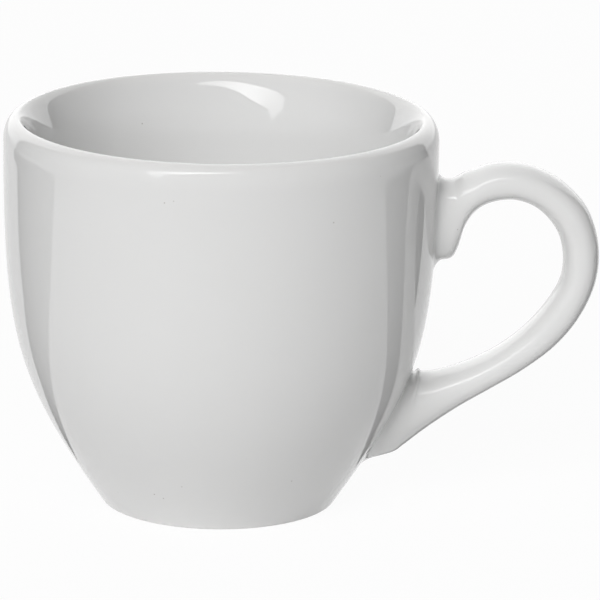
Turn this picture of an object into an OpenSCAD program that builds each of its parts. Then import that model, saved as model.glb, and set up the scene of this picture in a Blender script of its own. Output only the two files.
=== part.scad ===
// Coffee cup: a round bowl on a turned foot, with a cast loop handle stuck on with slip.
// The foot stands on the plane z = 0, the bowl's axis is Z, and the handle points along +X.

/* [Bowl] */
// Widest outside diameter of the bowl
bowl_d = 80; // [72:0.5:92]
// Height from the table to the crest of the rim
cup_h = 72.5; // [66:0.5:90]
// Angle at which the wall leaves the foot, measured up from the table
foot_angle = 56; // [50:1:64]
// How far the wall keeps the foot's direction, as a share of the wall's height
foot_pull_share = 0.415; // [0.36:0.005:0.44]
// How far the wall stays upright under the rim, as a share of the wall's height
top_pull_share = 0.555; // [0.48:0.005:0.6]

/* [Rim] */
// How far the crest lies in from the outside of the wall
crest_in = 2.65; // [1.6:0.05:2.7]
// How far the outside of the rim rounds down from the crest
rim_fall = 4.1; // [2:0.1:6]
// How far the crest runs on level before the inside turns down
crest_pull = 0.9; // [0.7:0.05:1.4]
// How far the flare inside the rim reaches down from the crest
flare_fall = 7; // [6:0.1:9]
// How far up from its foot the flare already leans like the inner wall
flare_soft = 2; // [1:0.1:3]

/* [Inside] */
// Thickness of the wall at the foot of the flare
wall_t = 6.95; // [6:0.05:8.5]
// Lean of the inner wall at the foot of the flare, in degrees from upright
inner_lean = 17; // [10:0.5:20]
// Thickness of the floor over the hollow of the foot
floor_t = 4.8; // [3.5:0.1:6]
// How far the inner wall keeps its lean, as a share of the inner depth
inner_pull_share = 0.31; // [0.28:0.01:0.36]
// How far out the curve of the inner floor is drawn, as a share of the inner radius
floor_pull_share = 1.08; // [0.96:0.01:1.1]

/* [Foot] */
// Outside diameter of the foot on the table
foot_d = 43.3; // [40:0.1:50]
// Width of the ring that the cup stands on
foot_ring_w = 2.7; // [2:0.1:4]
// Depth of the hollow under the foot
foot_hollow = 2.4; // [1:0.1:3.5]
// Radius worn on the edges of the standing ring
foot_round = 0.4; // [0.2:0.05:0.8]

/* [Handle] */
// Distance from the wall to the handle's middle line where it stands furthest out
handle_reach = 27; // [24:0.5:34]
// Thickness of the handle at the grip, seen from the side
handle_t = 6.6; // [5.5:0.1:8]
// Width of the handle at the grip, seen from the end
handle_w = 10.2; // [8:0.1:13]
// Distance from the rim down to the top of the upper root
upper_drop = 11.6; // [11:0.1:16]
// Height of the upper root on the wall, with its heel
upper_root_h = 15.7; // [12:0.1:17]
// Width of the upper root
upper_root_w = 12; // [10:0.1:15]
// Distance from the table up to the tip of the lower root
lower_lift = 7.6; // [6:0.1:12]
// Height of the flared lower root on the wall
lower_root_h = 16.4; // [14:0.1:19]
// Width of the lower root
lower_root_w = 14.4; // [11:0.1:17]

/* [Joints] */
// Thickness of the layer of slip between handle and wall
slip_t = 0.5; // [0.3:0.05:1]
// How far the wiped slip spreads over the wall round each root
slip_spread = 1.9; // [1:0.1:3]

/* [Smoothness] */
// Steps along each curve of the bowl
curve_steps = 36; // [16:4:60]
// Sides of each ring round the handle
ring_sides = 36; // [24:4:48]
// Rings from one handle station to the next
rings_per_station = 3; // [2:1:4]
// Steps across the hollow of each slip fillet
fillet_steps = 5; // [3:1:8]

/* [Hidden] */

// Hairline between the slip and the curved wall, so that flat facets clear it
wall_seat = 0.05;
// Width of the rounded corner inside the foot, as a share of its depth
cove_share = 1.5;
// Halvings used to find a height on the wall curve
halvings = 18;
// How square the handle's oval section is: 2 is an ellipse
oval_power = 2.3;
// How far out the handle's sections bend to follow the round wall, as a share of its reach
follow_share = 0.45;
// Rings that fill in a root's end face, as shares of its outline
end_face_shares = [0.34, 0.68];

bowl_r = bowl_d / 2;
foot_r = foot_d / 2;
shoulder_z = cup_h - rim_fall;
floor_z = foot_hollow + floor_t;
upper_top = cup_h - upper_drop;
handle_span = upper_top - lower_lift;

// Stations of the handle, in order from the upper root to the lower one.
// Each is [distance from the wall as a share of the reach, height as a share of the span
// between the roots, lean of the section in degrees, thickness and width as shares of the
// way from the grip to the root].
upper_station_shares = [
    [0.062, 0.862, 83, 0.95, 1],
    [0.116, 0.87, 87, 0.92, 0.9],
    [0.16, 0.896, 86, 0.79, 0.7],
    [0.22, 0.94, 79, 0.47, 0.4],
    [0.298, 0.976, 73, 0.26, 0.2],
    [0.416, 0.996, 67, 0.13, 0.1],
    [0.582, 0.994, 60, 0.03, 0],
    [0.764, 0.952, 47, 0, 0],
    [0.92, 0.868, 35, 0.03, 0],
    [0.994, 0.76, 19, 0.03, 0],
    [0.996, 0.65, 1, 0.01, 0],
];
lower_station_shares = [
    [0.924, 0.544, -18, 0.01, 0],
    [0.806, 0.448, -28, 0, 0],
    [0.65, 0.368, -39, -0.05, 0.1],
    [0.486, 0.308, -53, -0.05, 0.2],
    [0.348, 0.264, -70, 0.04, 0.3],
    [0.248, 0.23, -84, 0.22, 0.5],
    [0.19, 0.208, -95, 0.44, 0.65],
    [0.132, 0.184, -103, 0.75, 0.8],
    [0.098, 0.174, -107, 0.97, 0.9],
    [0.042, 0.16, -115, 1.12, 1],
];

// Point at share t of a cubic curve with four control points
function bezier(p, t) =
    pow(1 - t, 3) * p[0] + 3 * pow(1 - t, 2) * t * p[1] + 3 * (1 - t) * t * t * p[2] + pow(t, 3) * p[3];

// Points along such a curve, without its first one
function along(p) = [for (i = [1:curve_steps]) bezier(p, i / curve_steps)];

// Points of a quarter ellipse, without its first one
function quarter(centre, half_x, half_y, from, to) =
    let (n = ceil(curve_steps / 4))
    [for (i = [1:n]) let (a = from + (to - from) * i / n) centre + [half_x * cos(a), half_y * sin(a)]];

// The outside of the bowl is one curve, from the edge of the foot to the shoulder under the rim
wall_start = [foot_r, 0] + foot_round * [cos(foot_angle), sin(foot_angle)];
wall_curve = [
    wall_start,
    wall_start + foot_pull_share * shoulder_z * [cos(foot_angle), sin(foot_angle)],
    [bowl_r, shoulder_z * (1 - top_pull_share)],
    [bowl_r, shoulder_z],
];

// Share of the wall curve at height z, and the bowl's outside radius there
function wall_share(z, low = 0, high = 1, n = halvings) =
    let (mid = (low + high) / 2)
    n == 0 ? mid
    : bezier(wall_curve, mid)[1] < z ? wall_share(z, mid, high, n - 1)
    : wall_share(z, low, mid, n - 1);
function wall_r(z) = bezier(wall_curve, wall_share(z))[0];

// The inside of the bowl is two curves that run on into each other: the flare under the crest,
// and the wall from there to the middle of the floor
crest_r = bowl_r - crest_in;
inner_r = bowl_r - wall_t;
inner_top = cup_h - flare_fall;
inner_way = [-sin(inner_lean), -cos(inner_lean)];
flare_curve = [
    [crest_r, cup_h],
    [crest_r - crest_pull, cup_h],
    [inner_r, inner_top] - flare_soft * inner_way,
    [inner_r, inner_top],
];
inner_curve = [
    [inner_r, inner_top],
    [inner_r, inner_top] + inner_pull_share * (inner_top - floor_z) * inner_way,
    [inner_r * floor_pull_share, floor_z],
    [0, floor_z],
];

// Outline of the bowl on one side of its axis, round from the hollow of the foot
ring_in_r = foot_r - foot_ring_w;
cove_w = cove_share * foot_hollow;
body_outline = concat(
    [[0, foot_hollow], [ring_in_r - cove_w, foot_hollow]],
    quarter([ring_in_r - cove_w, foot_round], cove_w, foot_hollow - foot_round, 90, 0),
    quarter([ring_in_r + foot_round, foot_round], foot_round, foot_round, 180, 270),
    [[foot_r - foot_round, 0], foot_edge_mid(), wall_start],
    along(wall_curve),
    quarter([crest_r, shoulder_z], crest_in, rim_fall, 0, 90),
    along(flare_curve),
    along(inner_curve)
);

// Middle of the small worn edge between the standing ring and the wall
function foot_edge_mid() = ([foot_r - foot_round, 0] + 2 * [foot_r, 0] + wall_start) / 4;

// Where the wall lies, measured along X, at a distance y to the side and a height z
function wall_x(y, z) = sqrt(pow(wall_r(z), 2) - y * y);

// A station holds the outer and the inner edge of a section, as x and z, and its half width
function root_station(z_out, z_in, w) =
    [wall_r(z_out) + slip_t, z_out, wall_r(z_in) + slip_t, z_in, w / 2];
function free_station(row, root_h, root_w) =
    let (
        z = lower_lift + row[1] * handle_span,
        middle = [wall_r(z) + row[0] * handle_reach, z],
        half = (handle_t + row[3] * (root_h - handle_t)) / 2 * [cos(row[2]), sin(row[2])],
        w = handle_w + row[4] * (root_w - handle_w)
    )
    concat(middle + half, middle - half, [w / 2]);

stations = concat(
    [root_station(upper_top, upper_top - upper_root_h, upper_root_w)],
    [for (row = upper_station_shares) free_station(row, upper_root_h, upper_root_w)],
    [for (row = lower_station_shares) free_station(row, lower_root_h, lower_root_w)],
    [root_station(lower_lift, lower_lift + lower_root_h, lower_root_w)]
);

// Smooth curve through the stations: u runs from 0 to 1 between station k and the next
function between(k, u) =
    let (
        p0 = stations[max(k - 1, 0)],
        p1 = stations[k],
        p2 = stations[k + 1],
        p3 = stations[min(k + 2, len(stations) - 1)]
    )
    (2 * p1 + (p2 - p0) * u + (2 * p0 - 5 * p1 + 4 * p2 - p3) * u * u
        + (3 * p1 - p0 - 3 * p2 + p3) * u * u * u) / 2;

// One value of the oval section, from a sine or cosine
function oval(v) = sign(v) * pow(abs(v), 2 / oval_power);

// Ring of points round the handle at a station. Near a root it bends to follow the wall.
function ring(s) =
    let (
        wall_out = wall_r(s[1]),
        wall_in = wall_r(s[3]),
        clear = min(s[0] - wall_out, s[2] - wall_in) - slip_t,
        follow = pow(max(0, 1 - clear / (follow_share * handle_reach)), 2)
    )
    [for (j = [0:ring_sides - 1])
        let (
            up = (1 + oval(cos(360 * j / ring_sides))) / 2,
            y = s[4] * oval(sin(360 * j / ring_sides)),
            z = s[3] + (s[1] - s[3]) * up,
            chord = wall_in + (wall_out - wall_in) * up
        )
        [s[2] + (s[0] - s[2]) * up + follow * (wall_x(y, z) - chord), y, z]
    ];

handle_rings = concat(
    [for (k = [0:len(stations) - 2], i = [0:rings_per_station - 1]) ring(between(k, i / rings_per_station))],
    [ring(stations[len(stations) - 1])]
);
last_ring = len(handle_rings) - 1;

// Middle height of a root, and points that stand off from the wall over its end face
function root_mid(r) = (max([for (p = r) p[2]]) + min([for (p = r) p[2]])) / 2;
function on_wall(y, z, off) = [wall_x(y, z) + off, y, z];
function face_ring(r, share, off) =
    [for (p = r) on_wall(p[1] * share, root_mid(r) + (p[2] - root_mid(r)) * share, off)];
function face_rings(r, off) = [for (share = end_face_shares) face_ring(r, share, off)];
function face_middle(r, off) = on_wall(0, root_mid(r), off);

// Outline of the slip on the wall, spread out evenly round a root
function spread_ring(r) =
    [for (p = r)
        let (way = [p[1], p[2] - root_mid(r)], far = way * (1 + slip_spread / norm(way)))
        on_wall(far[0], root_mid(r) + far[1], wall_seat)
    ];

// Hollow fillet from a seam round the handle down to the wall, one ring per step
function fillet_rings(seam, root) =
    let (corner = face_ring(root, 1, wall_seat), edge = spread_ring(root))
    [for (i = [1:fillet_steps])
        let (t = i / fillet_steps)
        [for (j = [0:ring_sides - 1])
            pow(1 - t, 2) * seam[j] + 2 * (1 - t) * t * corner[j] + t * t * edge[j]]
    ];

// The slip's face on the wall, from the spread edge to the middle
function wall_face_rings(r) =
    concat([face_ring(r, 1, wall_seat)], reversed(face_rings(r, wall_seat)));

function reversed(list) = [for (i = [len(list) - 1:-1:0]) list[i]];

// Closed skin over a row of rings, with a fan to a point at each end.
// With wraps set it is turned over, for a solid that lies round the outside of its rings.
module skin(rings, first, last, wraps = false) {
    n = len(rings[0]);
    end = len(rings) - 1;
    points = concat([first], [for (r = rings) each r], [last]);
    function at(k, j) = 1 + k * n + j % n;
    faces = concat(
        [for (j = [0:n - 1]) [0, at(0, j + 1), at(0, j)]],
        [for (k = [0:end - 1], j = [0:n - 1]) [at(k, j), at(k + 1, j + 1), at(k + 1, j)]],
        [for (k = [0:end - 1], j = [0:n - 1]) [at(k, j), at(k, j + 1), at(k + 1, j + 1)]],
        [for (j = [0:n - 1]) [len(points) - 1, at(end, j), at(end, j + 1)]]
    );
    polyhedron(points, wraps ? [for (f = faces) reversed(f)] : faces);
}

// The bowl with its rim and foot, turned in one piece
module cup_body() {
    color([0.93, 0.93, 0.92])
        rotate_extrude($fn = 180) polygon(body_outline);
}

// The loop handle, cast on its own, with a heel at the upper root and a flare at the lower
module handle() {
    upper = handle_rings[0];
    lower = handle_rings[last_ring];
    color([0.91, 0.91, 0.9])
        skin(
            concat(face_rings(upper, slip_t), handle_rings, reversed(face_rings(lower, slip_t))),
            face_middle(upper, slip_t),
            face_middle(lower, slip_t)
        );
}

// Slip that holds the upper root: a layer under its end face and a fillet round it
module upper_slip_joint() {
    root = handle_rings[0];
    seam = [for (i = [0:rings_per_station]) handle_rings[i]];
    color([0.88, 0.88, 0.87])
        skin(
            concat(face_rings(root, slip_t), seam,
                fillet_rings(seam[rings_per_station], root), wall_face_rings(root)),
            face_middle(root, slip_t),
            face_middle(root, wall_seat),
            wraps = true
        );
}

// Slip that holds the lower root
module lower_slip_joint() {
    root = handle_rings[last_ring];
    seam = [for (i = [0:rings_per_station]) handle_rings[last_ring - rings_per_station + i]];
    color([0.88, 0.88, 0.87])
        skin(
            concat(reversed(wall_face_rings(root)), reversed(fillet_rings(seam[0], root)), seam,
                reversed(face_rings(root, slip_t))),
            face_middle(root, wall_seat),
            face_middle(root, slip_t),
            wraps = true
        );
}

cup_body();
handle();
upper_slip_joint();
lower_slip_joint();
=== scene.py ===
import math

import bmesh
import bpy
import numpy as np
from mathutils import Matrix, Vector


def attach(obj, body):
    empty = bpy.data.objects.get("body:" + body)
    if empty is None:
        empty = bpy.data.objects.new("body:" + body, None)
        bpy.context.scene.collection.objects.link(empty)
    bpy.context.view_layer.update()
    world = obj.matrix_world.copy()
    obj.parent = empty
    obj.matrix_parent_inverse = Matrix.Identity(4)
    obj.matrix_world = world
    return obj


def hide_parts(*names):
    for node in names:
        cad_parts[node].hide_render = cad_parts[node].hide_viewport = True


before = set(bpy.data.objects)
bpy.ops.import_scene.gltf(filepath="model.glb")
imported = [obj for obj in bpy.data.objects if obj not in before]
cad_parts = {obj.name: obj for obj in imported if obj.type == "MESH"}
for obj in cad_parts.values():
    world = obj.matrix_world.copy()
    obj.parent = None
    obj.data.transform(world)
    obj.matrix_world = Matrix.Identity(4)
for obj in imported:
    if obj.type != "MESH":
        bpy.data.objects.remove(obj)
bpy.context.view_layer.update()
print("frame loaded")

# Camera

camera = {  # metres and degrees
    "place": (0, -0.960, 0.29543),
    "down": 15.02,          # tilt below the horizon
    "aside": 0.883,         # turn towards the handle
    "roll": 0.748,
    "lens": 322.57,         # millimetres on a sensor of 36
    "sensor": 36,
    "clip": (0.01, 50),
}


def cameraTurn(down, aside, roll):
    right = Vector((math.cos(aside), -math.sin(aside), 0))
    level = Vector((math.sin(aside), math.cos(aside), 0))
    ahead = level * math.cos(down) - Vector((0, 0, math.sin(down)))
    up = right.cross(ahead)
    tiltedRight = right * math.cos(roll) + up * math.sin(roll)
    tiltedUp = up * math.cos(roll) - right * math.sin(roll)
    return Matrix((tiltedRight, tiltedUp, -ahead)).transposed()


lensData = bpy.data.cameras.new("studioCamera")
lensData.lens = camera["lens"]
lensData.sensor_width = camera["sensor"]
lensData.clip_start, lensData.clip_end = camera["clip"]
eye = bpy.data.objects.new("studioCamera", lensData)
bpy.context.collection.objects.link(eye)
turns = [math.radians(camera[key]) for key in ("down", "aside", "roll")]
eye.matrix_world = Matrix.Translation(camera["place"]) @ cameraTurn(*turns).to_4x4()
bpy.context.scene.camera = eye
print("camera placed")

# Shapes shared by the bowl, the handle and the slip

samePoint = 1e-7  # metres


def curvePoints(corners, count):  # a curve from the first corner to the last, pulled by the two between
    t = np.linspace(0, 1, count)[:, None]
    a, b, c, d = (np.array(corner, float) for corner in corners)
    return (1 - t) ** 3 * a + 3 * (1 - t) ** 2 * t * b + 3 * (1 - t) * t ** 2 * c + t ** 3 * d


def quarterPoints(middle, halfWidth, halfHeight, start, end, count):  # from one angle to another, in degrees
    turn = np.radians(np.linspace(start, end, count))
    return np.column_stack((middle[0] + halfWidth * np.cos(turn), middle[1] + halfHeight * np.sin(turn)))


def joined(*runs):  # one outline from runs of points that start where the last one ends
    points = np.vstack([np.atleast_2d(run) for run in runs])
    apart = np.hypot(*np.diff(points, axis=0).T) > samePoint
    return points[np.concatenate(([True], apart))]


def closedFaces(rings, sides):  # between the rings, and to the first and the last point, which are poles
    at = lambda ring, side: 1 + ring * sides + side % sides
    pole, end = 1 + rings * sides, rings - 1
    faces = [(0, at(0, j + 1), at(0, j)) for j in range(sides)]
    for i in range(end):
        faces += [(at(i, j), at(i, j + 1), at(i + 1, j + 1), at(i + 1, j)) for j in range(sides)]
    return faces + [(pole, at(end, j), at(end, j + 1)) for j in range(sides)]


def newPiece(name, points, faces, normals=None):
    mesh = bpy.data.meshes.new(name)
    mesh.from_pydata([tuple(p) for p in points], [], faces)
    mesh.validate()
    shell = bmesh.new()
    shell.from_mesh(mesh)
    bmesh.ops.recalc_face_normals(shell, faces=shell.faces)
    shell.to_mesh(mesh)
    shell.free()
    mesh.polygons.foreach_set("use_smooth", [True] * len(mesh.polygons))
    if normals is not None:  # a zero normal leaves that point to its own faces
        mesh.normals_split_custom_set_from_vertices([tuple(n) for n in normals])
    mesh.update()
    piece = bpy.data.objects.new(name, mesh)
    bpy.context.collection.objects.link(piece)
    return piece


def paintPoolAndShade(piece, depthAndShade):  # how deep the glaze has gathered at each point, -1 for thin to 1 for pooled; the pooled end is also painted shade
    layer = piece.data.attributes.new("glazeDepthAndShade", "FLOAT", "POINT")
    layer.data.foreach_set("value", np.asarray(depthAndShade, float))


# Bowl

bowl = {  # metres, and shares of the lengths that they name
    "width": 0.080,
    "height": 0.0725,
    "footWidth": 0.0433,
    "footAngle": 56,        # degrees up from the table at which the wall leaves the foot
    "footPull": 0.415,
    "topPull": 0.555,
    "crestIn": 0.00265,
    "rimFall": 0.0041,
    "crestPull": 0.0009,
    "flareFall": 0.007,
    "flareSoft": 0.002,
    "wall": 0.00695,        # how far in the inside is at the foot of the flare
    "innerLean": 17,        # degrees from upright, there
    "floor": 0.0048,
    "innerPull": 0.31,
    "floorPull": 1.08,
    "standingRing": 0.0027,
    "hollow": 0.0024,
    "coveShare": 1.5,
    "edgeRound": 0.0004,
    "sides": 288,
    "wallSteps": 96,
    "lipSteps": 20,
    "flareSteps": 48,
    "underSteps": 24,
    "coveSteps": 16,
    "edgeSteps": 8,
}
wallTableSteps = 4001
bowlRadius = bowl["width"] / 2
footRadius = bowl["footWidth"] / 2
shoulder = bowl["height"] - bowl["rimFall"]
innerTop = bowl["height"] - bowl["flareFall"]
floorHeight = bowl["hollow"] + bowl["floor"]
footWay = np.array([math.cos(math.radians(bowl["footAngle"])), math.sin(math.radians(bowl["footAngle"]))])
wallStart = np.array([footRadius, 0]) + bowl["edgeRound"] * footWay
wallCorners = [
    wallStart,
    wallStart + bowl["footPull"] * shoulder * footWay,
    (bowlRadius, shoulder * (1 - bowl["topPull"])),
    (bowlRadius, shoulder),
]
wallTable = curvePoints(wallCorners, wallTableSteps)


def wallRadius(height):
    return np.interp(height, wallTable[:, 1], wallTable[:, 0])


def wallNormal(height):  # outward, as radius and height
    slope = np.gradient(wallTable[:, 0], wallTable[:, 1])
    lean = np.interp(height, wallTable[:, 1], slope)
    return 1 / np.sqrt(1 + lean ** 2), -lean / np.sqrt(1 + lean ** 2)


def bowlOutline():
    innerRadius = bowlRadius - bowl["wall"]
    ringInside = footRadius - bowl["standingRing"]
    cove = bowl["coveShare"] * bowl["hollow"]
    edge, edgeSteps = bowl["edgeRound"], bowl["edgeSteps"]
    crest = bowlRadius - bowl["crestIn"]
    footCorner = [(footRadius - edge, 0), (footRadius, 0), wallStart]
    t = np.linspace(0, 1, edgeSteps)[:, None]
    footEdge = (1 - t) ** 2 * footCorner[0] + 2 * t * (1 - t) * footCorner[1] + t ** 2 * footCorner[2]
    underSteps = bowl["underSteps"]
    underFoot = np.column_stack((np.linspace(0, ringInside - cove, underSteps),
                                 np.full(underSteps, bowl["hollow"])))
    lean = math.radians(bowl["innerLean"])
    innerWay = np.array([-math.sin(lean), -math.cos(lean)])
    flareFoot = np.array([innerRadius, innerTop])
    flareCorners = [
        (crest, bowl["height"]),
        (crest - bowl["crestPull"], bowl["height"]),
        flareFoot - bowl["flareSoft"] * innerWay,
        flareFoot,
    ]
    innerCorners = [
        flareFoot,
        flareFoot + bowl["innerPull"] * (innerTop - floorHeight) * innerWay,
        (innerRadius * bowl["floorPull"], floorHeight),
        (0, floorHeight),
    ]
    return joined(
        underFoot,
        quarterPoints((ringInside - cove, edge), cove, bowl["hollow"] - edge, 90, 0, bowl["coveSteps"]),
        quarterPoints((ringInside + edge, edge), edge, edge, 180, 270, edgeSteps),
        footEdge,
        curvePoints(wallCorners, bowl["wallSteps"]),
        quarterPoints((crest, shoulder), bowl["crestIn"], bowl["rimFall"], 0, 90, bowl["lipSteps"]),
        curvePoints(flareCorners, bowl["flareSteps"]),
        curvePoints(innerCorners, bowl["wallSteps"]),
    )


def turnedPiece(name, outline, sides):  # a closed outline from pole to pole, turned round the axis
    turn = np.linspace(0, 2 * math.pi, sides, endpoint=False)
    rings = outline[1:-1]
    points = [(0, 0, outline[0, 1])]
    for radius, height in rings:
        points += list(zip(radius * np.cos(turn), radius * np.sin(turn), np.full(sides, height)))
    points.append((0, 0, outline[-1, 1]))
    return newPiece(name, points, closedFaces(len(rings), sides))


bowlPiece = turnedPiece("bowl", bowlOutline(), bowl["sides"])
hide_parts("cup_body")
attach(bowlPiece, "root")
print("bowl turned")

# Handle and slip

handle = {  # metres, and shares of the lengths that they name
    "reach": 0.027,
    "thickness": 0.0066,
    "width": 0.0102,
    "upperTop": 0.0609,
    "upperRoot": 0.0157,
    "upperRootWidth": 0.012,
    "lowerTip": 0.0076,
    "lowerRoot": 0.0164,
    "lowerRootWidth": 0.0144,
    "ovalPower": 2.3,       # 2 is an ellipse, more is squarer
    "follow": 0.45,         # how far out the sections bend with the wall, as a share of the reach
    "slip": 0.0005,         # layer between the handle and the wall
    "spread": 0.0019,       # how far the slip runs out over the wall
    "tuck": 0.05,           # share by which the handle is drawn in where the slip covers it
    "sink": 0.00002,        # how deep the slip's edge ends in the wall
    "faceShares": (0.25, 0.5, 0.75),
    "sides": 72,
    "ringsPerStation": 9,
    "filletSteps": 14,
    # Distance from the wall and height as shares, lean in degrees, then thickness and width as shares of the
    # way from the grip's to the root's
    "upperStations": [
        (0.062, 0.862, 83, 0.95, 1), (0.116, 0.87, 87, 0.92, 0.9), (0.16, 0.896, 86, 0.79, 0.7),
        (0.22, 0.94, 79, 0.47, 0.4), (0.298, 0.976, 73, 0.26, 0.2), (0.416, 0.996, 67, 0.13, 0.1),
        (0.582, 0.994, 60, 0.03, 0), (0.764, 0.952, 47, 0, 0), (0.92, 0.868, 35, 0.03, 0),
        (0.994, 0.76, 19, 0.03, 0), (0.996, 0.65, 1, 0.01, 0),
    ],
    "lowerStations": [
        (0.924, 0.544, -18, 0.01, 0), (0.806, 0.448, -28, 0, 0), (0.65, 0.368, -39, -0.05, 0.1),
        (0.486, 0.308, -53, -0.05, 0.2), (0.348, 0.264, -70, 0.04, 0.3), (0.248, 0.23, -84, 0.22, 0.5),
        (0.19, 0.208, -95, 0.44, 0.65), (0.132, 0.184, -103, 0.75, 0.8), (0.098, 0.174, -107, 0.97, 0.9),
        (0.042, 0.16, -115, 1.12, 1),
    ],
}
handleSpan = handle["upperTop"] - handle["lowerTip"]
sideTurn = np.radians(np.arange(handle["sides"]) * 360 / handle["sides"])


def rootStation(outer, inner, width):  # outer and inner edge as x and z, then half the width
    return [wallRadius(outer) + handle["slip"], outer, wallRadius(inner) + handle["slip"], inner, width / 2]


def freeStation(row, rootHeight, rootWidth):
    height = handle["lowerTip"] + row[1] * handleSpan
    x = wallRadius(height) + row[0] * handle["reach"]
    half = (handle["thickness"] + row[3] * (rootHeight - handle["thickness"])) / 2
    across, along = half * math.cos(math.radians(row[2])), half * math.sin(math.radians(row[2]))
    width = handle["width"] + row[4] * (rootWidth - handle["width"])
    return [x + across, height + along, x - across, height - along, width / 2]


def handleStations():
    top, tip = handle["upperTop"], handle["lowerTip"]
    upper, lower = handle["upperRoot"], handle["lowerRoot"]
    rows = [rootStation(top, top - upper, handle["upperRootWidth"])]
    rows += [freeStation(row, upper, handle["upperRootWidth"]) for row in handle["upperStations"]]
    rows += [freeStation(row, lower, handle["lowerRootWidth"]) for row in handle["lowerStations"]]
    rows += [rootStation(tip, tip + lower, handle["lowerRootWidth"])]
    return np.array(rows)


def smoothRows(rows, steps):  # a smooth curve through the stations
    padded = np.vstack((rows[:1], rows, rows[-1:]))
    out = []
    for k in range(len(rows) - 1):
        a, b, c, d = padded[k:k + 4]
        for u in np.arange(steps) / steps:
            out.append((2 * b + (c - a) * u + (2 * a - 5 * b + 4 * c - d) * u ** 2
                        + (3 * b - a - 3 * c + d) * u ** 3) / 2)
    return np.array(out + [rows[-1]])


def oval(value):
    return np.sign(value) * np.abs(value) ** (2 / handle["ovalPower"])


def wallX(y, z):
    return np.sqrt(wallRadius(z) ** 2 - y ** 2)


def handleRing(row):
    outerX, outerZ, innerX, innerZ, halfWidth = row
    wallOut, wallIn = wallRadius(outerZ), wallRadius(innerZ)
    clear = min(outerX - wallOut, innerX - wallIn) - handle["slip"]
    follow = max(0, 1 - clear / (handle["follow"] * handle["reach"])) ** 2
    up = (1 + oval(np.cos(sideTurn))) / 2
    y = halfWidth * oval(np.sin(sideTurn))
    z = innerZ + (outerZ - innerZ) * up
    chord = wallIn + (wallOut - wallIn) * up
    x = innerX + (outerX - innerX) * up + follow * (wallX(y, z) - chord)
    return np.column_stack((x, y, z))


def rootMiddle(ring):
    return (ring[:, 2].max() + ring[:, 2].min()) / 2


def onWall(y, z, off):
    return np.column_stack((wallX(y, z) + off, y, z))


def faceRing(ring, share, off):  # the root's outline, drawn in to a share of its size, on the wall
    middle = rootMiddle(ring)
    return onWall(ring[:, 1] * share, middle + (ring[:, 2] - middle) * share, off)


def spreadRing(ring, off):
    way = np.column_stack((ring[:, 1], ring[:, 2] - rootMiddle(ring)))
    far = way * (1 + handle["spread"] / np.linalg.norm(way, axis=1))[:, None]
    return onWall(far[:, 0], rootMiddle(ring) + far[:, 1], off)


def filletRings(seam, root):  # from the seam on the handle down to the wall
    corner, edge = faceRing(root, 1, 0), spreadRing(root, -handle["sink"])
    t = np.linspace(0, 1, handle["filletSteps"] + 1)[1:, None, None]
    return list((1 - t) ** 2 * seam + 2 * (1 - t) * t * corner + t ** 2 * edge)


handleRings = [handleRing(row) for row in smoothRows(handleStations(), handle["ringsPerStation"])]
seamAt = handle["ringsPerStation"]
upperFillet = filletRings(handleRings[seamAt], handleRings[0])
lowerFillet = filletRings(handleRings[-1 - seamAt], handleRings[-1])
# One run of rings over everything that shows, from slip to slip, gives all three pieces the same normals
shownRings = np.array(upperFillet[::-1] + handleRings[seamAt:-seamAt] + lowerFillet)
along = np.gradient(shownRings, axis=0)
around = np.roll(shownRings, -1, axis=1) - np.roll(shownRings, 1, axis=1)
shownNormals = np.cross(around, along)
shownNormals /= np.linalg.norm(shownNormals, axis=2)[:, :, None]
outward = shownRings - shownRings.mean(axis=1)[:, None, :]
if (shownNormals * outward).sum(axis=2).mean() < 0:
    shownNormals = -shownNormals
for end in (0, -1):
    flat = wallNormal(shownRings[end][:, 2])
    radius = np.hypot(shownRings[end][:, 0], shownRings[end][:, 1])
    shownNormals[end] = np.column_stack((flat[0] * shownRings[end][:, 0] / radius,
                                         flat[0] * shownRings[end][:, 1] / radius, flat[1]))


def skinPiece(name, rings, normals, first, last):  # a closed skin with a point at each end
    sides = len(rings[0])
    points = np.vstack([[first]] + list(rings) + [[last]])
    allNormals = np.zeros_like(points)
    for k, normal in normals.items():
        allNormals[1 + k * sides:1 + (k + 1) * sides] = normal
    return newPiece(name, points, closedFaces(len(rings), sides), allNormals)


def faceRings(ring, off):  # from the middle of the root's face outwards
    return [faceRing(ring, share, off) for share in handle["faceShares"]]


def faceMiddle(ring, off):
    return onWall(np.zeros(1), np.array([rootMiddle(ring)]), off)[0]


def tucked(rings):
    middle = np.mean(rings, axis=1)[:, None, :]
    return list(middle + (rings - middle) * (1 - handle["tuck"]))


slipSteps, slip = handle["filletSteps"], handle["slip"]
upperRoot, lowerRoot = handleRings[0], handleRings[-1]
upperHidden, lowerHidden = tucked(handleRings[:seamAt]), tucked(handleRings[-seamAt:])
handleRun = (faceRings(upperRoot, slip) + upperHidden + handleRings[seamAt:-seamAt] + lowerHidden
             + faceRings(lowerRoot, slip)[::-1])
firstShown = len(handle["faceShares"]) + seamAt
handleNormals = {firstShown + k: shownNormals[slipSteps + k]
                 for k in range(len(handleRings) - 2 * seamAt)}
handlePiece = skinPiece("loop_handle", handleRun, handleNormals,
                        faceMiddle(upperRoot, slip), faceMiddle(lowerRoot, slip))
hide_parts("handle")


def slipPiece(name, root, seamRings, fillet, normals):  # closed round the root: end face, seam, fillet, wall
    endFace, wallFace = faceRings(root, slip), faceRings(root, 0)
    run = endFace + seamRings + fillet + [faceRing(root, 1, 0)] + wallFace[::-1]
    seam = len(endFace) + len(seamRings) - 1
    shown = {seam + k: normals[k] for k in range(len(fillet) + 1)}
    return skinPiece(name, run, shown, faceMiddle(root, slip), faceMiddle(root, 0))


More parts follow.
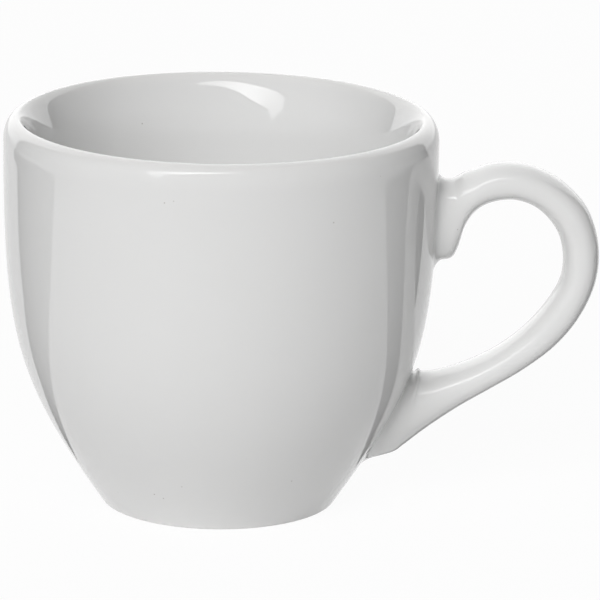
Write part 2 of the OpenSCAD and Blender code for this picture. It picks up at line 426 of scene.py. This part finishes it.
upperSlip = slipPiece("upper_slip", upperRoot, upperHidden + [handleRings[seamAt]], upperFillet,
                      shownNormals[slipSteps::-1])
lowerSlip = slipPiece("lower_slip", lowerRoot, lowerHidden[::-1] + [handleRings[-1 - seamAt]],
                      lowerFillet, shownNormals[-slipSteps - 1:])
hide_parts("upper_slip_joint")
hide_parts("lower_slip_joint")
for piece in (handlePiece, upperSlip, lowerSlip):
    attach(piece, "root")
print("handle and slip made")

# Glaze

glaze = {
    "white": (0.80, 0.80, 0.795),       # body seen through the clear glaze
    "pooledAndShaded": (0.745, 0.755, 0.75),     # where the glaze has gathered thick; darker, so it is also painted shade in the creases
    "thin": (0.84, 0.835, 0.825),       # where it has drawn thin over an edge
    "bare": (0.70, 0.68, 0.64),         # the ground ring without glaze
    "bareHeight": 0.00012,              # metres
    "bareRough": 0.6,
    "gloss": 0.012,
    "bend": 1.52,                       # index of refraction
    # Patterns: how many per metre, then detail and roughness
    "clouds": (26, 3.0, 0.55),
    "waves": (130, 1.0, 0.4),
    "peel": (620, 2.0, 0.5),
    "cloudDepth": 0.018,
    "smear": 0.02,                      # extra roughness in the clouds over this next level
    "smearFrom": 0.45,
    "waveDepth": 0.000012,              # metres
    "peelDepth": 0.0000005,
    "specks": 600,                      # cells per metre
    "speckShare": 0.04,                 # of the cells
    "speckSize": 0.12,                  # of a cell
    "speckColour": (0.30, 0.27, 0.24),
    # How far the glaze draws thin (below 0) or gathers, and over what distance in metres; where it gathers,
    # in the floor's corner and the slip's crease, it is also painted shade
    "lipThin": (-0.8, 0.0012),
    "footThin": (-0.6, 0.0012, 0.0008),
    "floorPoolAndShade": (0.5, 0.0012),
    "floorReach": 0.02,
    "filletPoolAndShade": (0.6, 0.0003, 0.0008),
}


class Wire:  # a socket of a node tree that takes part in sums
    def __init__(self, tree, socket=None):
        self.tree = tree
        self.socket = socket

    def add(self, kind, settings=None, inputs=None, output=0):
        node = self.tree.nodes.new(kind)
        for key, value in (settings or {}).items():
            setattr(node, key, value)
        for key, value in (inputs or {}).items():
            if isinstance(value, Wire):
                self.tree.links.new(value.socket, node.inputs[key])
            elif isinstance(value, tuple) and len(value) == 3 and node.inputs[key].type == "RGBA":
                node.inputs[key].default_value = (*value, 1)
            else:
                node.inputs[key].default_value = value
        return Wire(self.tree, node.outputs[output] if node.outputs else None)

    def maths(self, operation, first, second=0.0):
        return self.add("ShaderNodeMath", {"operation": operation}, {0: first, 1: second})

    def blend(self, first, second):  # two colours, by this mask
        return self.add("ShaderNodeMix", {"data_type": "RGBA"}, {0: self, 6: first, 7: second}, 2)

    def clip(self):
        return self.add("ShaderNodeClamp", None, {0: self})

    def __add__(self, other):
        return self.maths("ADD", self, other)

    def __radd__(self, other):
        return self.maths("ADD", other, self)

    def __sub__(self, other):
        return self.maths("SUBTRACT", self, other)

    def __rsub__(self, other):
        return self.maths("SUBTRACT", other, self)

    def __mul__(self, other):
        return self.maths("MULTIPLY", self, other)

    def __rmul__(self, other):
        return self.maths("MULTIPLY", other, self)

    def __truediv__(self, other):
        return self.maths("DIVIDE", self, other)

    def __rtruediv__(self, other):
        return self.maths("DIVIDE", other, self)

    def __pow__(self, other):
        return self.maths("POWER", self, other)

    def __rpow__(self, other):
        return self.maths("POWER", other, self)

    def __lt__(self, other):
        return self.maths("LESS_THAN", self, other)

    def __gt__(self, other):  # also what a number < mask comes to
        return self.maths("GREATER_THAN", self, other)


def newTree(name):
    material = bpy.data.materials.new(name)
    material.use_nodes = True
    material.node_tree.nodes.clear()
    return material, Wire(material.node_tree)


def glowing(start, level):
    return start.add("ShaderNodeEmission", None, {"Color": (1, 1, 1), "Strength": level})


def finishSurface(start, surface):
    start.add("ShaderNodeOutputMaterial", None, {"Surface": surface})


def pattern(start, place, perMetre, detail, roughness):
    return start.add("ShaderNodeTexNoise", None,
                     {"Vector": place, "Scale": perMetre, "Detail": detail, "Roughness": roughness})


def glazedPorcelain(name, hasBareRing=False):
    material, start = newTree(name)
    place = start.add("ShaderNodeTexCoord", output=3)
    height = start.add("ShaderNodeSeparateXYZ", None, {0: place}, 2)
    depthAndShade = start.add("ShaderNodeAttribute", {"attribute_name": "glazeDepthAndShade"}, output=2)
    cloud, wave, peel = (pattern(start, place, *glaze[key]) for key in ("clouds", "waves", "peel"))
    # Iron specks: small dots in a few cells only
    cells = {"Vector": place, "Scale": glaze["specks"], "Randomness": 1.0}
    near = start.add("ShaderNodeTexVoronoi", {"feature": "F1"}, cells, 0)
    cellColour = start.add("ShaderNodeTexVoronoi", {"feature": "F1"}, cells, 1)
    draw = start.add("ShaderNodeSeparateColor", None, {0: cellColour}, 0)
    speck = (draw < glaze["speckShare"]) * (1 - near / glaze["speckSize"]).clip()

    tone = 1 - (cloud - 0.5) * (2 * glaze["cloudDepth"])
    white = start.add("ShaderNodeVectorMath", {"operation": "SCALE"}, {0: glaze["white"], "Scale": tone})
    # Pooled glaze and painted shade: darker in the floor's corner and the slip's crease
    colour = depthAndShade.clip().blend(white, glaze["pooledAndShaded"])
    colour = (0 - depthAndShade).clip().blend(colour, glaze["thin"])
    colour = speck.blend(colour, glaze["speckColour"])
    rough = glaze["gloss"] + (cloud - glaze["smearFrom"]).clip() * glaze["smear"]
    if hasBareRing:
        bare = height < glaze["bareHeight"]
        colour = bare.blend(colour, glaze["bare"])
        rough = rough + bare * glaze["bareRough"]
    relief = (wave - 0.5) * glaze["waveDepth"] + (peel - 0.5) * glaze["peelDepth"]
    normal = start.add("ShaderNodeBump", None, {"Strength": 1.0, "Distance": 1.0, "Height": relief})
    surface = start.add("ShaderNodeBsdfPrincipled", None, {
        "Base Color": colour, "Roughness": rough, "Normal": normal, "IOR": glaze["bend"]})
    finishSurface(start, surface)
    return material


def radiusAndHeight(piece):
    places = np.array([v.co for v in piece.data.vertices])
    return np.hypot(places[:, 0], places[:, 1]), places[:, 2]


def bell(distance, width):
    return np.exp(-(distance / width) ** 2)


def bowlPoolAndShade(piece):  # thin over the lip and the foot's edge, gathered round the floor, which is also painted shade in the floor's corner
    radius, height = radiusAndHeight(piece)
    lipDepth, lipWidth = glaze["lipThin"]
    footDepth, footTall, footWide = glaze["footThin"]
    floorPoolShadeDepth, floorWidth = glaze["floorPoolAndShade"]
    lip = bell(height - bowl["height"], lipWidth)
    foot = bell(radius - footRadius, footWide) * bell(height, footTall)
    # Painted shade, with pooled glaze, in the corner of the inside floor
    floorCornerShade = bell(height - floorHeight - floorWidth, floorWidth) * (radius < glaze["floorReach"])
    return floorPoolShadeDepth * floorCornerShade + lipDepth * lip + footDepth * foot


def filletPoolAndShade(piece):  # deepest a little way off the wall: pooled glaze and painted shade in the slip's crease
    radius, height = radiusAndHeight(piece)
    depthAndShade, off, width = glaze["filletPoolAndShade"]
    return np.clip(1 - np.abs(radius - wallRadius(height) - off) / width, 0, 1) * depthAndShade


bowlGlaze = glazedPorcelain("bowlGlaze", hasBareRing=True)
handleGlaze = glazedPorcelain("handleGlaze")
paintPoolAndShade(bowlPiece, bowlPoolAndShade(bowlPiece))
for piece in (handlePiece, upperSlip, lowerSlip):
    paintPoolAndShade(piece, filletPoolAndShade(piece))
bowlPiece.data.materials.append(bowlGlaze)
for piece in (handlePiece, upperSlip, lowerSlip):
    piece.data.materials.append(handleGlaze)
print("glaze laid")

# Studio

studio = {  # metres and degrees; a turn of 0 is the camera's side, 90 the handle's
    "floorSize": 6.0,
    "floorColour": (0.90, 0.90, 0.90),
    "floorWhite": 0.95,     # how far plain white takes the floor's place where it is seen
    "ambient": 0.08,
    # Soft light from all round: turn, height, focus, brightness, and how bright its mirror image is
    "glows": [
        (-17, 30, 60, 13.5, 0), (-21, 37, 25, 1.2, 0), (180, 30, 4, 1.0, 0), (180, 30, 2, 0, 1.0),
    ],
    "stripAway": 6.0,
    # Ribbon of light over the front: turn and height of its upper edge and of its lower one, then the
    # brightness at each
    "strip": [
        (19.5, 54.2, 17.5, 51.5, 4, 4), (9.6, 56, 5.3, 51.7, 4.8, 4.8), (-2.5, 57, -6.1, 48.9, 6, 6),
        (-14.4, 55, -14.1, 45.8, 7, 7), (-25.3, 51.8, -20.3, 41.4, 7, 7),
        (-35.4, 48.2, -25.8, 38.3, 5.6, 6), (-40.8, 45.8, -28.4, 36.5, 4.6, 5),
        (-45, 41.5, -31.2, 34.8, 3.8, 4.2), (-44.4, 35.6, -32.2, 32.2, 3.4, 3.8),
        (-40.8, 29, -32.1, 25.6, 3.2, 3.6), (-36.2, 19, -32.2, 19, 3.2, 3.4), (-33.2, 16, -32.4, 16, 3, 3),
    ],
    # Painted reflection of the dark side of the room, seen in mirror images only, in the same way from its
    # front edge to its back edge, as it stands on the handle's side; its lowest row also lies on the table,
    # close to the cup
    "sideAway": 1.5,
    "tableAway": 0.3,
    "side": [
        (78, -2, 134, -2, 0.9, 0.05), (78, 13, 134, 13, 0.9, 0.05), (78, 20, 133, 20, 0.9, 0.05),
        (78, 24, 131, 24, 0.9, 0.05), (78, 30, 126, 30, 0.9, 0.05), (76, 36, 119, 36, 0.9, 0.1),
        (74, 44, 113, 44, 0.9, 0.2), (72, 52, 110, 52, 0.9, 0.4), (70, 62, 108, 62, 1, 0.8),
    ],
    # Dark cards on the table beside the cup, for its mirror images only, as outlines: painted dark
    # reflections
    "leftPaintedReflectionCard": [(-0.030, 0.009), (-0.310, 0.009), (-0.310, 0.262), (-0.205, 0.162), (-0.123, 0.076),
                 (-0.084, 0.047), (-0.060, 0.027), (-0.037, 0.0156)],
    "rightPaintedReflectionCard": [(0.030, 0.005), (0.300, 0.002), (0.300, 0.250), (0.183, 0.145), (0.148, 0.101),
                  (0.114, 0.065), (0.0996, 0.055), (0.084, 0.046), (0.060, 0.027), (0.037, 0.015)],
    "cardLift": 0.0004,     # over the table
    "tableLift": 0.0002,    # of the dark side's lowest row
    "paintedReflectionColour": (0.05, 0.05, 0.05),
}


def stagePiece(name, points, faces):
    mesh = bpy.data.meshes.new(name)
    mesh.from_pydata(points, [], faces)
    piece = bpy.data.objects.new(name, mesh)
    bpy.context.collection.objects.link(piece)
    return piece


def seenRays(start):  # camera, mirror and glass rays, which see plain white; then mirror rays alone
    path = start.add("ShaderNodeLightPath").socket.node
    camera, glossy, through = (Wire(start.tree, path.outputs[name])
                               for name in ("Is Camera Ray", "Is Glossy Ray", "Is Transmission Ray"))
    return (camera + glossy + through).clip(), glossy


def makeFloor():
    half = studio["floorSize"] / 2
    floor = stagePiece("floor", [(-half, -half, 0), (half, -half, 0), (half, half, 0), (-half, half, 0)],
                       [(0, 1, 2, 3)])
    material, start = newTree("floorWhite")
    plain = start.add("ShaderNodeBsdfDiffuse", None, {"Color": studio["floorColour"]})
    seen = seenRays(start)[0]
    finishSurface(start, start.add("ShaderNodeMixShader", None, {
        0: seen * studio["floorWhite"], 1: plain, 2: glowing(start, 1.0)}))
    material.cycles.emission_sampling = "NONE"  # it lights nothing
    floor.data.materials.append(material)


def makePaintedReflectionCards():
    material, start = newTree("paintedReflectionDark")
    finishSurface(start, start.add("ShaderNodeBsdfDiffuse", None, {"Color": studio["paintedReflectionColour"]}))
    for name in ("leftPaintedReflectionCard", "rightPaintedReflectionCard"):
        outline = [(x, y, studio["cardLift"]) for x, y in studio[name]]
        card = stagePiece(name, outline, [tuple(range(len(outline)))])
        # Painted dark reflections: hidden from the camera, from diffuse light and from shadows
        card.visible_camera = card.visible_diffuse = card.visible_shadow = False
        card.data.materials.append(material)


def wayTo(turn, height):  # the direction of a light, from the cup
    turn, height = math.radians(turn), math.radians(height)
    return math.sin(turn) * math.cos(height), -math.cos(turn) * math.cos(height), math.sin(height)


def makeRibbon(name, rows, aways, flip=1):  # a ribbon that glows, with its edges given as seen from the cup
    points, bright = [], []
    for (turn, height, otherTurn, otherHeight, *levels), away in zip(rows, aways):
        for x, y, z in (wayTo(flip * turn, height), wayTo(flip * otherTurn, otherHeight)):
            points.append((away * x, away * y, max(away * z, studio["tableLift"])))
        bright += levels
    faces = [(k, k + 1, k + 3, k + 2) for k in range(0, len(points) - 2, 2)]
    ribbon = stagePiece(name, points, faces)
    ribbon.visible_camera = False
    layer = ribbon.data.attributes.new("bright", "FLOAT", "POINT")
    layer.data.foreach_set("value", bright)
    material, start = newTree(name + "Glow")
    level = start.add("ShaderNodeAttribute", {"attribute_name": "bright"}, output=2)
    finishSurface(start, glowing(start, level))
    ribbon.data.materials.append(material)
    return ribbon


def makeLights():
    makeRibbon("strip", studio["strip"], [studio["stripAway"]] * len(studio["strip"]))
    sideRows = studio["side"][:1] + studio["side"]
    sideAways = [studio["tableAway"]] + [studio["sideAway"]] * len(studio["side"])
    for name, flip in (("leftSide", -1), ("rightSide", 1)):
        side = makeRibbon(name, sideRows, sideAways, flip)
        # Painted reflections: the sides glow in mirror images only and light nothing
        side.visible_diffuse = side.visible_shadow = False
        side.active_material.cycles.emission_sampling = "NONE"


def makeWorld():
    world = bpy.data.worlds.new("studioWorld")
    bpy.context.scene.world = world
    world.use_nodes = True
    world.node_tree.nodes.clear()
    start = Wire(world.node_tree)
    way = start.add("ShaderNodeTexCoord")
    light, mirrored = studio["ambient"], 1.0
    for turn, height, focus, bright, mirrorBright in studio["glows"]:
        facing = start.add("ShaderNodeVectorMath", {"operation": "DOT_PRODUCT"},
                           {0: way, 1: wayTo(turn, height)}, 1)
        glow = facing.clip() ** focus
        light = light + glow * bright
        if mirrorBright:
            mirrored = mirrored + glow * mirrorBright
    seen, glossy = seenRays(start)
    strength = seen + (1 - seen) * light + glossy * (mirrored - 1)  # plain white where it is seen
    back = start.add("ShaderNodeBackground", None, {"Color": (1, 1, 1), "Strength": strength})
    start.add("ShaderNodeOutputWorld", None, {"Surface": back})


makeFloor()
makePaintedReflectionCards()
makeLights()
makeWorld()
bpy.context.scene.view_settings.view_transform = "Standard"
print("studio lit")
